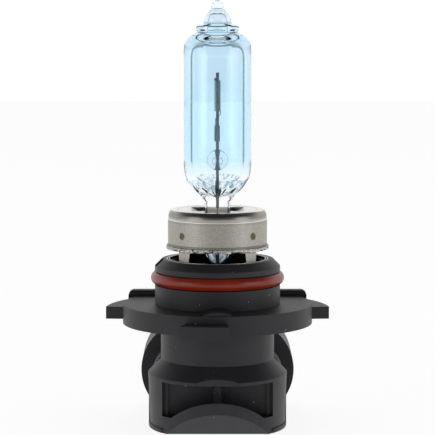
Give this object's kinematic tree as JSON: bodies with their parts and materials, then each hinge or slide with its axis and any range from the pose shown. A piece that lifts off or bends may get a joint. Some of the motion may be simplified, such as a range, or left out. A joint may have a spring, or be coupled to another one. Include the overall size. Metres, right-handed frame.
{
  "type": "headlight bulb",
  "caption": "Halogen lamp bulb with a clear capsule, a steel collar, a twist-in plastic cap with a seal ring and lugs, and a rear plug socket.",
  "frame": {"origin": "on the bulb's axis, in the flange face that seats against the lamp", "axes": "+Z along the bulb's axis towards the glass tip; +Y the way the plug socket opens; the moulded window in the elbow faces -Y"},
  "size_m": [0.036, 0.0375, 0.068],
  "materials": {
    "cap_plastic": "fine-grained moulded plastic",
    "seal_rubber": "smooth, slightly glossy",
    "seal_resin": "cast",
    "terminal_metal": "tin plated",
    "collar_steel": "drawn sheet, warm grey",
    "capsule_glass": "clear with a light blue coating",
    "bead_glass": "clear",
    "lead_metal": "drawn molybdenum",
    "coil_metal": "wound tungsten wire"
  },
  "bodies": {
    "root": {"housing": "cap_plastic", "cover": "cap_plastic", "o_ring": "seal_rubber", "lead_seal": "seal_resin", "terminal_left": "terminal_metal", "terminal_right": "terminal_metal", "cup": "collar_steel", "support_ring": "collar_steel", "insert_ring": "collar_steel", "glass_capsule": "capsule_glass", "bridge_bead": "bead_glass", "foil_front": "lead_metal", "foil_rear": "lead_metal", "long_lead": "lead_metal", "short_lead": "lead_metal", "front_pin": "lead_metal", "rear_pin": "lead_metal", "coil_clamp": "lead_metal", "filament_coil": "coil_metal"}
  },
  "joints": []
}
